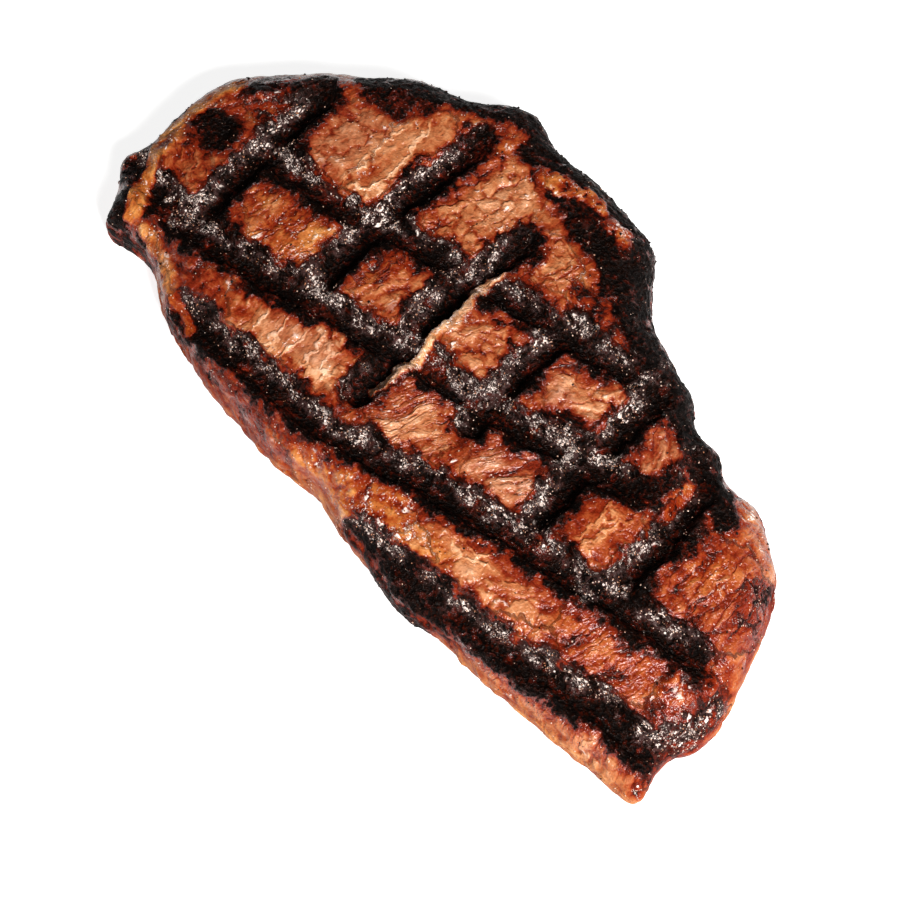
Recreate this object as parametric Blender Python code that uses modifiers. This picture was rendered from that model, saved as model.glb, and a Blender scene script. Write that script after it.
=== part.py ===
"""A grilled boneless beef steak, modelled as one solid.

Frame: metres, +Z up. The origin is on the resting plane, under the middle of the
steak's box. +X runs along the length towards the narrow tip, +Y towards the charred
fat edge, and -Y towards the straight lean edge.

The plan outline is extruded into a slab and remeshed evenly. Its rim is then rolled
over, its faces swell between the grill marks, and two crossing sets of grill bars
press their grooves into both faces. A Decimate modifier keeps triangles only where
the surface bends.
"""

import bmesh
import bpy
import numpy as np

# ---------------------------------------------------------------- driving dimensions
LENGTH = 0.2005           # along X, rind to tip, before the wall waves inward
WIDTH = 0.1065            # along Y
THICKNESS = 0.0245        # resting plane to the highest panel
MM = 0.001

# Rim section: how far the rounding reaches in from the edge, and how deep it goes.
RIM_REACH_TOP = 0.0130
RIM_DROP_TOP = 0.0120
RIM_REACH_BOTTOM = 0.0075
RIM_DROP_BOTTOM = 0.0090
WALL_WAVE = 0.0009        # slow in-and-out waviness of the side wall

# Thickness lost towards the two ends and towards the lean edge.
TIP_DROP = 0.0050
RIND_DROP = 0.0022
LEAN_DROP = 0.0016
PANEL_SWELL = 0.0012      # slow swells of the upper face

# Grill marks.
BAR_WIDTH = 0.0084
GROOVE_DEPTH_TOP = 0.0026
GROOVE_DEPTH_BOTTOM = 0.0010
UNDERSIDE_PITCH = 0.0255  # from bar to bar of the grill, on the underside
UNDERSIDE_TURN = -0.28    # the underside's grill marks are turned by this, in radians

# Fat rind: a raised rope of fat inside the blunt end, with a shallow channel behind it.
RIND_WIDTH = 0.0060
RIND_RISE = 0.0008

REMESH_SIZE = 0.0016
OUTLINE_STEP = 8          # points of the smooth outline between two named ones
TRIANGLE_BUDGET = 9200
FLAT_WITHIN = 0.00006     # underside vertices this close to the resting plane lie on it

# Plan outline in millimetres, anticlockwise from the lower corner of the blunt end.
OUTLINE_MM = {
    "heel knob": [(-90.5, -41), (-87, -46.5), (-78.5, -44), (-69, -44.5)],
    "lean edge": [(-57, -49.5), (-43, -52), (-28, -53), (-13, -51.5), (2, -50.5),
                  (17, -52), (34, -52), (50, -49.5), (66, -47.5), (82, -45)],
    "tip": [(94, -43), (99.5, -40.5), (98.5, -35.5), (97.5, -29), (99.5, -23)],
    "narrow end": [(98.5, -14), (95.5, -5), (91.5, 3), (87, 10.5), (82, 17)],
    "shoulder": [(74, 21.5), (66, 24), (58, 24), (52.5, 27.5), (44.5, 26)],
    "fat edge": [(39, 31.5), (29, 33.5), (20, 35.5), (12.5, 42), (5, 49),
                 (-4, 51), (-16, 51.5), (-30, 50.5)],
    "fat corner": [(-40, 52.3), (-47, 49.5), (-56, 43)],
    "blunt end": [(-67, 37), (-77, 28), (-87, 18), (-96, 6), (-99.7, -5),
                  (-99, -16), (-97, -25), (-98.5, -32.5)],
}

# Centre lines of the grill marks on the upper face, in millimetres. The steak shrank and
# curled as it cooked, so they bow a little and their pitch wanders about 25 mm.
UPPER_BARS_MM = {
    "long, fat side": [(-70, -5), (-45, -1), (-35, 4), (-12, 11), (5, 15.5), (32, 22)],
    "long, upper": [(-93, -31), (-75, -33), (-60, -30), (-45, -25.5), (-30, -20),
                    (-20, -18), (-8, -12.5), (5, -10.5), (25, -4), (48, 3)],
    "long, middle": [(-54, -46), (-30, -42.5), (-5, -39), (15, -31), (35, -25),
                     (55, -20), (75, -14), (87, -11.5)],
    "long, lean side": [(14, -51), (35, -47), (55, -42), (75, -36), (98, -32)],
    "cross, first": [(-70.5, -30), (-72.5, -15), (-76.5, 14)],
    "cross, second": [(-38, -20), (-41.5, 8), (-42.5, 34)],
    "cross, third": [(-10, -29), (-15, 0), (-15, 24)],
    "cross, fourth": [(12, -14), (9, 8), (9.5, 20)],
    "cross, fifth": [(38.5, -18), (36, 4), (33, 28)],
    "cross, sixth": [(61.5, -18), (60, 4), (53, 20)],
}

STEAK_COLOUR = (0.17, 0.055, 0.028, 1.0)


# ---------------------------------------------------------------- outline
def smooth_outline():
    """The named outline points joined by a closed Catmull-Rom curve, in metres."""
    points = np.array([p for stretch in OUTLINE_MM.values() for p in stretch]) * MM
    before, after, beyond = (np.roll(points, shift, axis=0) for shift in (1, -1, -2))
    t = np.arange(OUTLINE_STEP)[None, :, None] / OUTLINE_STEP
    p0, p1, p2, p3 = (p[:, None, :] for p in (before, points, after, beyond))
    curve = 0.5 * (2 * p1 + (p2 - p0) * t + (2 * p0 - 5 * p1 + 4 * p2 - p3) * t ** 2
                   + (3 * p1 - p0 - 3 * p2 + p3) * t ** 3)
    return fit_to_size(curve.reshape(-1, 2))


def fit_to_size(outline):
    """Centre the outline on the origin and stretch it to LENGTH by WIDTH."""
    low, high = outline.min(axis=0), outline.max(axis=0)
    return (outline - (low + high) / 2) * np.array([LENGTH, WIDTH]) / (high - low)


def edge_distance(plan, outline):
    """Distance from each plan point to the outline, and the unit direction inward."""
    start, end = outline, np.roll(outline, -1, axis=0)
    run = end - start
    best = np.full(len(plan), np.inf)
    nearest = np.zeros_like(plan)
    segment = np.zeros(len(plan), dtype=int)
    for index in range(len(start)):
        along = (plan - start[index]) @ run[index] / (run[index] @ run[index])
        foot = start[index] + np.clip(along, 0, 1)[:, None] * run[index]
        gap = np.linalg.norm(plan - foot, axis=1)
        closer = gap < best
        best[closer] = gap[closer]
        nearest[closer] = foot[closer]
        segment[closer] = index
    left = np.stack([-run[:, 1], run[:, 0]], axis=1)
    left /= np.linalg.norm(left, axis=1)[:, None]
    inward = np.where((best > 0.3 * MM)[:, None], plan - nearest, left[segment])
    inward /= np.maximum(np.linalg.norm(inward, axis=1), 1e-9)[:, None]
    return best, inward


# ---------------------------------------------------------------- surface functions
def bump_profile(distance, width):
    """1 on a line, falling smoothly to 0 at half the width on either side."""
    return np.clip(1 - (2 * distance / width) ** 2, 0, None) ** 1.5


def fade(value, start, end, softness):
    """1 between start and end, easing to 0 over the given softness."""
    rise = np.clip((value - start) / softness + 0.5, 0, 1)
    fall = np.clip((end - value) / softness + 0.5, 0, 1)
    return rise * rise * (3 - 2 * rise) * fall * fall * (3 - 2 * fall)


def path_distance(x, y, path_mm):
    """Distance from each (x, y) to an open path of straight runs."""
    plan = np.column_stack([x, y])
    path = np.array(path_mm) * MM
    nearest = np.full(len(plan), np.inf)
    for start, end in zip(path[:-1], path[1:]):
        run = end - start
        along = np.clip((plan - start) @ run / (run @ run), 0, 1)
        gap = np.linalg.norm(plan - start - along[:, None] * run, axis=1)
        nearest = np.minimum(nearest, gap)
    return nearest


def upper_grooves(x, y):
    """How deeply the grill bars pressed the upper face at (x, y), 0 to 1."""
    pressed = np.zeros_like(x)
    for path_mm in UPPER_BARS_MM.values():
        pressed = np.maximum(pressed, bump_profile(path_distance(x, y, path_mm), BAR_WIDTH))
    return pressed


def underside_grooves(x, y):
    """How deeply an even, crossing grill pressed the underside at (x, y), 0 to 1."""
    cos, sin = np.cos(UNDERSIDE_TURN), np.sin(UNDERSIDE_TURN)
    pressed = np.zeros_like(x)
    for across in (cos * x + sin * y, cos * y - sin * x):
        offset = (across / UNDERSIDE_PITCH + 0.5) % 1 - 0.5
        bar = bump_profile(offset * UNDERSIDE_PITCH, BAR_WIDTH)
        pressed = np.maximum(pressed, bar)
    return pressed


def upper_face_drop(x, y, inset):
    """How far the upper face lies below THICKNESS, before the rim is rolled over."""
    tip = TIP_DROP * np.clip((x - 0.045) / 0.055, 0, 1) ** 1.6
    rind = RIND_DROP * np.clip((-x - 0.060) / 0.040, 0, 1) ** 1.5
    lean = LEAN_DROP * np.clip((-y - 0.015) / 0.035, 0, 1)
    swell = PANEL_SWELL * (np.sin(61 * x + 0.6) * np.cos(83 * y + 1.1) + 1) / 2
    on_rind = fade(-x, 0.060, 0.200, 0.030)
    rope = RIND_RISE * bump_profile(inset - 0.0085, RIND_WIDTH)
    channel = RIND_RISE * bump_profile(inset - 0.0150, RIND_WIDTH)
    return tip + rind + lean + swell + on_rind * (channel - rope)


def roll_rim(inset, z, inward):
    """Carry the slab's square corners onto the rounded rim section.

    Returns the sideways move and the new height of every vertex.
    """
    shift = np.zeros_like(inset)
    height = z.copy()
    rims = ((1, THICKNESS, RIM_REACH_TOP, RIM_DROP_TOP),
            (-1, 0.0, RIM_REACH_BOTTOM, RIM_DROP_BOTTOM))
    for side, face, reach, drop in rims:
        across = np.clip((reach - inset) / reach, 0, None)
        up = np.clip(side * (z - face) / drop + 1, 0, None)
        corner = (across > 0) & (up > 0)
        square = np.maximum(across, up)
        scale = square / np.maximum(np.hypot(across, up), 1e-9)
        shift[corner] = (across * (1 - scale) * reach)[corner]
        height[corner] = (face + side * (up * scale - 1) * drop)[corner]
    return inward * shift[:, None], height


def shape_vertices(points, outline):
    """Move the slab's vertices onto the steak's surface."""
    inset, inward = edge_distance(points[:, :2], outline)
    sideways, z = roll_rim(inset, np.clip(points[:, 2], 0, THICKNESS), inward)
    plan = points[:, :2] + sideways
    x, y = plan.T
    wave = WALL_WAVE * (1 + np.sin(210 * x + 90 * y) * np.cos(140 * y - 60 * x))
    near_wall = np.clip(1 - inset / RIM_REACH_TOP, 0, 1) * np.sin(np.pi * z / THICKNESS)
    plan = plan + inward * (wave * near_wall)[:, None]
    upper = np.clip((z / THICKNESS - 0.35) / 0.65, 0, 1)
    face_lift = np.clip((z / THICKNESS - 0.8) / 0.2, 0, 1)
    z = z - upper * upper_face_drop(x, y, inset)
    z = z - face_lift * GROOVE_DEPTH_TOP * upper_grooves(x, y)
    underside = np.clip(1 - z / (2 * GROOVE_DEPTH_BOTTOM), 0, 1)
    z = z + underside * GROOVE_DEPTH_BOTTOM * underside_grooves(x, y)
    return np.column_stack([plan, z])


# ---------------------------------------------------------------- building
def clear_scene():
    """Remove every object of the starting scene."""
    for existing in list(bpy.data.objects):
        bpy.data.objects.remove(existing, do_unlink=True)


def outline_slab(outline, collection):
    """The flat outline extruded to the steak's thickness, as a welded mesh object."""
    curve = bpy.data.curves.new("outline", "CURVE")
    curve.dimensions = "2D"
    curve.fill_mode = "BOTH"
    curve.extrude = THICKNESS / 2
    spline = curve.splines.new("POLY")
    spline.points.add(len(outline) - 1)
    for point, (x, y) in zip(spline.points, outline):
        point.co = (x, y, 0, 1)
    spline.use_cyclic_u = True
    guide = bpy.data.objects.new("outline", curve)
    guide.location.z = THICKNESS / 2
    collection.objects.link(guide)
    slab = mesh_copy(guide, "slab", collection)
    bpy.data.objects.remove(guide, do_unlink=True)
    return slab


def mesh_copy(source, name, collection):
    """A new object holding the source's evaluated mesh in world space, welded."""
    graph = bpy.context.evaluated_depsgraph_get()
    mesh = bpy.data.meshes.new_from_object(source.evaluated_get(graph))
    mesh.name = name
    mesh.transform(source.matrix_world)
    welded = bmesh.new()
    welded.from_mesh(mesh)
    bmesh.ops.remove_doubles(welded, verts=welded.verts, dist=0.00001)
    bmesh.ops.recalc_face_normals(welded, faces=welded.faces)
    welded.to_mesh(mesh)
    welded.free()
    copy = bpy.data.objects.new(name, mesh)
    collection.objects.link(copy)
    return copy


def even_mesh(slab, collection):
    """The slab remeshed into even quads, ready for its vertices to be moved."""
    remesh = slab.modifiers.new("even quads", "REMESH")
    remesh.mode = "VOXEL"
    remesh.voxel_size = REMESH_SIZE
    bpy.context.view_layer.update()
    steak = mesh_copy(slab, "fine_steak", collection)
    bpy.data.objects.remove(slab, do_unlink=True)
    return steak


def browned_beef():
    """The cooked meat's material."""
    material = bpy.data.materials.new("browned_beef")
    material.use_nodes = True
    shader = material.node_tree.nodes["Principled BSDF"]
    shader.inputs["Base Color"].default_value = STEAK_COLOUR
    shader.inputs["Roughness"].default_value = 0.42
    shader.inputs["Metallic"].default_value = 0.0
    return material


def build_steak():
    """Build the steak in its own collection."""
    collection = bpy.data.collections.new("grilled beef steak")
    bpy.context.scene.collection.children.link(collection)
    outline = smooth_outline()
    steak = even_mesh(outline_slab(outline, collection), collection)
    mesh = steak.data
    points = np.empty(len(mesh.vertices) * 3, dtype=np.float32)
    mesh.vertices.foreach_get("co", points)
    moved = shape_vertices(points.reshape(-1, 3).astype(float), outline)
    mesh.vertices.foreach_set("co", moved.astype(np.float32).ravel())
    mesh.shade_smooth()
    mesh.materials.clear()
    mesh.materials.append(browned_beef())
    mesh.update()
    return with_fewer_triangles(steak, collection)


def with_fewer_triangles(fine, collection):
    """The fine mesh decimated, with its resting panels set exactly flat."""
    decimate = fine.modifiers.new("fewer triangles", "DECIMATE")
    decimate.decimate_type = "COLLAPSE"
    decimate.use_collapse_triangulate = True
    decimate.ratio = TRIANGLE_BUDGET / (2 * len(fine.data.polygons))
    bpy.context.view_layer.update()
    steak = mesh_copy(fine, "grilled_steak", collection)
    bpy.data.objects.remove(fine, do_unlink=True)
    for vertex in steak.data.vertices:
        if abs(vertex.co.z) < FLAT_WITHIN:
            vertex.co.z = 0
    steak.data.shade_smooth()
    return steak


clear_scene()
build_steak()
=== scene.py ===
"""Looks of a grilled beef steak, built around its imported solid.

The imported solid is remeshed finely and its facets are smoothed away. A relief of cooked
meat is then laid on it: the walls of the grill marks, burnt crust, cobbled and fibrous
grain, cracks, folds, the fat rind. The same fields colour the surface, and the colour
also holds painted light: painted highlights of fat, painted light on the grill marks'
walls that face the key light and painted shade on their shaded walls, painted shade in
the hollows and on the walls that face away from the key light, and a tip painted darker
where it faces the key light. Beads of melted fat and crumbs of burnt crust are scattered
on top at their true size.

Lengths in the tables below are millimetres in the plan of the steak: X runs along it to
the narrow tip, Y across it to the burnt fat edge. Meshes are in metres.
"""

import logging
import math
from dataclasses import dataclass, fields
from enum import Enum
from typing import Any, Sequence, Union

import bmesh
import bpy
import numpy as np
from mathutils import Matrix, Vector
from mathutils.kdtree import KDTree


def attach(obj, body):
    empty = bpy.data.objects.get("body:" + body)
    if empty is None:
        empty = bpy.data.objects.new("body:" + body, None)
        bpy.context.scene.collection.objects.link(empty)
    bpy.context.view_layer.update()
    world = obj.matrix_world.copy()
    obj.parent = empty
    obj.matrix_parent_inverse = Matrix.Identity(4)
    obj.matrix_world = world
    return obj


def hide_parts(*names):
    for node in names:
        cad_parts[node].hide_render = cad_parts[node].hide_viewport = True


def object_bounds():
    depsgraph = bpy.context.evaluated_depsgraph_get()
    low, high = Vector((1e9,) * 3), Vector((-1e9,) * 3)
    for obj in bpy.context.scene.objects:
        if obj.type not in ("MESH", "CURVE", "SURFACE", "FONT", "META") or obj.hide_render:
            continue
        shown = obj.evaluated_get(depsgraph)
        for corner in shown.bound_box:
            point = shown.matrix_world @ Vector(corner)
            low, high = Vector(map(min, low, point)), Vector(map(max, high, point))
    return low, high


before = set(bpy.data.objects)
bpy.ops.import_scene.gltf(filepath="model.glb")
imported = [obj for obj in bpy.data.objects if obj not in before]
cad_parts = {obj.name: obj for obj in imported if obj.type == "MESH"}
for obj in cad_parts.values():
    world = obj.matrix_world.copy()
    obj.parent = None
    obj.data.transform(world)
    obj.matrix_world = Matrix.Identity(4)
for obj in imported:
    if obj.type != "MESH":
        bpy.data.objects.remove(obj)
CAD_LOW, CAD_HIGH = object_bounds()

NODE = "grilled_steak"
BODY = "root"
MM = 0.001
BASE_SEED = 11
FINE_SEED = 29

Array = np.ndarray
Plan = tuple[float, float]
log = logging.getLogger("steak")


# ------------------------------------------------------------------ arithmetic on fields
def ease(values: Array, start: float, end: float) -> Array:
    """Rise smoothly from 0 at start to 1 at end, or fall where end is below start.

    Args:
        values: the field to ease.
        start: the value that gives 0.
        end: the value that gives 1.

    Returns:
        The eased field, between 0 and 1.
    """
    t = np.clip((values - start) / (end - start), 0, 1)
    return t * t * (3 - 2 * t)


def blend(low: Array, high: Union[float, Array], mask: Array) -> Array:
    """Go from one field to another where a mask says so.

    Args:
        low: the field where the mask is 0.
        high: the field, or the one value, where the mask is 1.
        mask: 0 to 1.

    Returns:
        The blended field.
    """
    return low + (high - low) * np.clip(mask, 0, 1)


def linear(red: int, green: int, blue: int) -> Array:
    """Turn an 8-bit display colour into the linear one that shaders use."""
    display = np.array([red, green, blue]) / 255
    return np.where(display < 0.04045, display / 12.92, ((display + 0.055) / 1.055) ** 2.4)


class Noise:
    """Gradient noise and cell noise on arrays of points, the same on every run.

    Attributes:
        GAIN: brings the gradient noise to about -1 to 1.
        FINER: how many times smaller an octave's features are than the last's.
        SHIFT: how far each octave is pushed from the last.
    """

    GAIN = 1.6
    FINER = 2.03
    SHIFT = 17.3

    def __init__(self, seed: int) -> None:
        """Draw the lattice's slopes and cell points from a seed."""
        draw = np.random.default_rng(seed)
        self.order = draw.permutation(256)
        slopes = draw.normal(size=(256, 3))
        self.slopes = slopes / np.linalg.norm(slopes, axis=1)[:, None]
        self.spots = draw.random((256, 3))

    def pick(self, cell: Array) -> Array:
        """Return a table index for each lattice cell."""
        order = self.order
        row = order[cell[:, 0] & 255]
        column = order[(row + cell[:, 1]) & 255]
        return order[(column + cell[:, 2]) & 255]

    def smooth(self, points: Array) -> Array:
        """Gradient noise with features one unit across.

        Args:
            points: three coordinates a row.

        Returns:
            One value a row, about -1 to 1.
        """
        cell = np.floor(points).astype(int)
        inside = points - cell
        weight = inside ** 3 * (inside * (inside * 6 - 15) + 10)
        total = np.zeros(len(points))
        for corner in np.ndindex(2, 2, 2):
            slope = self.slopes[self.pick(cell + corner)]
            value = np.einsum("ij,ij->i", slope, inside - corner)
            share = np.prod(np.where(corner, weight, 1 - weight), axis=1)
            total += value * share
        return total * self.GAIN

    def fractal(self, points: Array, octaves: int) -> Array:
        """Sum octaves of gradient noise.

        Args:
            points: three coordinates a row, in units of the largest feature.
            octaves: how many layers, each about half the size and half the strength of the last.

        Returns:
            One value a row, about -1 to 1.
        """
        total = np.zeros(len(points))
        reach = 0.0
        for octave in range(octaves):
            share = 0.5 ** octave
            total += share * self.smooth(points * self.FINER ** octave + self.SHIFT * octave)
            reach += share
        return total / reach

    def cells(self, points: Array) -> tuple[Array, Array, Array]:
        """Distances to the nearest and second nearest scattered point.

        Args:
            points: three coordinates a row, in units of one cell.

        Returns:
            The two distances, and a number from 0 to 1 that is the same all over a cell.
        """
        cell = np.floor(points).astype(int)
        first = np.full(len(points), np.inf)
        second = first.copy()
        tag = np.zeros(len(points))
        for step in np.ndindex(3, 3, 3):
            near = cell + step - 1
            index = self.pick(near)
            gap = np.linalg.norm(near + self.spots[index] - points, axis=1)
            closer = gap < first
            second = np.where(closer, first, np.minimum(second, gap))
            tag = np.where(closer, self.spots[index, 0], tag)
            first = np.where(closer, gap, first)
        return first, second, tag


# ------------------------------------------------------------------ marks on the plan
@dataclass(frozen=True)
class Stroke:
    """A soft-edged band along an open path on the plan.

    Attributes:
        path: the band's centre line.
        width: the band's full width.
        strength: the mask's value on the centre line.
        softness: how far the band's edge takes to fade.
    """

    path: tuple[Plan, ...]
    width: float
    strength: float = 1.0
    softness: float = 1.6

    def measure(self, plan: Array) -> tuple[Array, Array]:
        """Measure from the band's centre line.

        Args:
            plan: two coordinates a row.

        Returns:
            The distance, and the offset, which is positive on the left of the path.
        """
        nearest = np.full(len(plan), np.inf)
        offset = np.zeros(len(plan))
        points = np.array(self.path, float)
        for start, end in zip(points[:-1], points[1:]):
            run = end - start
            length = np.hypot(*run)
            away = plan - start
            along = np.clip(away @ run / length ** 2, 0, 1)
            gap = np.linalg.norm(away - along[:, None] * run, axis=1)
            left = (run[0] * away[:, 1] - run[1] * away[:, 0]) / length
            closer = gap < nearest
            nearest = np.where(closer, gap, nearest)
            offset = np.where(closer, left, offset)
        return nearest, offset

    def mask(self, plan: Array) -> Array:
        """How much of the band lies at each point, 0 to its strength."""
        distance = self.measure(plan)[0] - self.width / 2
        return self.strength * ease(distance, self.softness / 2, -self.softness / 2)


@dataclass(frozen=True)
class Patch:
    """A soft-edged oval on the plan.

    Attributes:
        centre: its middle.
        radii: its half length and half width.
        turn: degrees from X to its length.
        strength: the mask's value in the middle.
        softness: the share of the radius over which the edge fades.
    """

    centre: Plan
    radii: tuple[float, float]
    turn: float = 0.0
    strength: float = 1.0
    softness: float = 0.5

    def local(self, plan: Array) -> Array:
        """Coordinates along and across the oval, in millimetres."""
        cos, sin = math.cos(math.radians(self.turn)), math.sin(math.radians(self.turn))
        away = plan - np.array(self.centre)
        return np.column_stack([away @ (cos, sin), away @ (-sin, cos)])

    def radius(self, plan: Array) -> Array:
        """How far out each point is, 0 in the middle and 1 on the oval."""
        return np.linalg.norm(self.local(plan) / self.radii, axis=1)

    def edge(self, plan: Array) -> Array:
        """About how many millimetres outside the oval each point is, negative inside."""
        return (self.radius(plan) - 1) * min(self.radii)

    def mask(self, plan: Array) -> Array:
        """How much of the oval lies at each point, 0 to its strength."""
        fade = self.softness / 2
        return self.strength * ease(self.radius(plan), 1 + fade, 1 - fade)


class Tone(Enum):
    """How brown a stretch of meat is, 0 burnt to 1 pale, and how warm, -1 pink to 1 golden."""

    PALE = (0.79, 0.05)
    BLUSH = (0.69, -0.50)
    TAN = (0.70, 0.20)
    GOLD = (0.74, 0.90)
    ORANGE = (0.58, 0.75)
    RUSSET = (0.50, 0.35)
    RED = (0.40, 0.60)
    PLUM = (0.38, -0.50)

    @property
    def level(self) -> float:
        """How pale the tone is."""
        return self.value[0]

    @property
    def warmth(self) -> float:
        """How golden the tone is."""
        return self.value[1]


class Grain(Enum):
    """How meat is textured: its fibres' length against width, and what parts them."""

    SMOOTH = (2.0, 0.25)
    COBBLED = (1.35, 1.0)
    FIBROUS = (4.0, 0.7)
    RIDGED = (3.6, -1.0)
    FOLDED = (1.8, 0.8)

    @property
    def stretch(self) -> float:
        """How many times longer than wide a fibre is."""
        return self.value[0]

    @property
    def seam(self) -> float:
        """What parts the fibres, -1 a pale raised ridge to 1 a dark crack."""
        return self.value[1]


@dataclass(frozen=True)
class Panel:
    """A stretch of browned meat between the grill marks.

    Attributes:
        area: where it lies.
        tone: its colour.
        grain: its texture.
        lean: degrees from X to its fibres.
        pitch: millimetres from one fibre, ridge or cobble to the next.
    """

    area: Patch
    tone: Tone
    grain: Grain
    lean: float
    pitch: float


@dataclass(frozen=True)
class GrillMark:
    """A burnt groove left by one bar of the grill.

    Its wall on the left of the path faces the key light and is painted grey with painted
    highlights, painted light; on the right its black burn and scorch reach further, painted shade.

    Attributes:
        path: its centre line.
        width: the groove's width at the surface.
        depth: how deep it is pressed, beyond the solid's own groove.
    """

    path: tuple[Plan, ...]
    width: float
    depth: float

    def stroke(self) -> Stroke:
        """The mark as a band on the plan."""
        return Stroke(self.path, self.width)


LONG_MARKS = (
    GrillMark(((-70, -5), (-55, -3.5), (-45, -1), (-35, 4), (-25, 7), (-12, 11), (5, 15.5),
               (18, 19.5), (32, 22)), 7.4, 1.1),
    GrillMark(((-93, -31), (-75, -33), (-60, -30), (-45, -25.5), (-30, -20), (-20, -18),
               (-8, -12.5), (5, -10.5), (15, -7.5), (25, -4), (48, 3)), 8.2, 1.5),
    GrillMark(((-54, -46), (-30, -42.5), (-15, -41), (-5, -39), (5, -35), (15, -31),
               (35, -25), (55, -20), (65, -16.5), (75, -14), (86, -11.5)), 7.8, 1.4),
    GrillMark(((14, -51), (25, -49), (35, -47), (55, -42), (65, -39), (75, -36),
               (98, -32)), 7.2, 1.3),
)
CROSS_MARKS = (
    GrillMark(((-70.5, -30), (-72.5, -15), (-75, 0), (-76.5, 14)), 9.0, 1.3),
    GrillMark(((-38, -20), (-40, -6), (-41.5, 8), (-42, 20), (-42.5, 34)), 8.4, 1.5),
    GrillMark(((-10, -29), (-13.5, -14), (-15, 0), (-15.5, 12), (-15, 24)), 8.6, 1.5),
    GrillMark(((12, -14), (9.5, -3), (9, 8), (9.5, 20)), 7.6, 1.2),
    GrillMark(((38.5, -18), (37, -6), (36, 4), (35, 15), (33, 28)), 8.4, 1.3),
    GrillMark(((61.5, -18), (60.5, -6), (60, 4), (58, 13), (53, 20)), 8.0, 1.3),
)
BURNT_EDGES = (
    Stroke(((-72, 26), (-60, 35), (-48, 42), (-42, 47)), 7.0, 0.95),
    Stroke(((-38, 49), (-20, 47), (0, 47), (9, 43), (13, 36)), 10.0, 1.0),
    Stroke(((-30, 44), (-10, 40), (6, 36), (14, 32), (27, 29), (42, 24)), 9.5, 1.0),
    Stroke(((46, 22), (53, 20), (60, 18), (66, 14)), 6.5, 1.0),
    Stroke(((-95, -2), (-97, -16), (-95, -27), (-95, -33)), 2.4, 0.9),
    Stroke(((-88, -40), (-78, -46), (-72, -45)), 5.5, 1.0),
    Stroke(((22, -52), (30, -52), (38, -51)), 4.0, 0.9),
)
BURNT_SPOTS = (
    Patch((-85.5, -11), (6.5, 5.0), 0, 1.0),
    Patch((-63, 28), (9, 4.5), 40, 0.65),
    Patch((-77, 10), (5, 6), 0, 0.8),
    Patch((-88, 4), (5, 3), 60, 0.8),
    Patch((4, 14), (9, 5), 10, 0.75),
    Patch((-3, 15), (6, 4), 10, 0.7),
    Patch((-38, -15), (4, 5), 0, 0.9),
    Patch((52, 10), (3.5, 7), 0, 0.8),
    Patch((28, 0), (8, 4), 15, 0.8),
    Patch((11, -13), (3.5, 4.5), 0, 0.8),
    Patch((64, 6), (3, 4), 0, 0.85),
)
FAT_POCKETS = (
    Patch((-20, 41.5), (7, 3.2), 22, 1.0, 0.5),
    Patch((-12, 44.5), (5.5, 2.2), 0, 1.0, 0.6),
    Patch((-2.5, 43), (5, 2.6), -10, 0.8, 0.8),
    Patch((55.5, 9), (2.2, 6.5), 10, 0.75, 0.6),
    Patch((-37, 36), (2.4, 5), 0, 0.7, 0.6),
)
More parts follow.
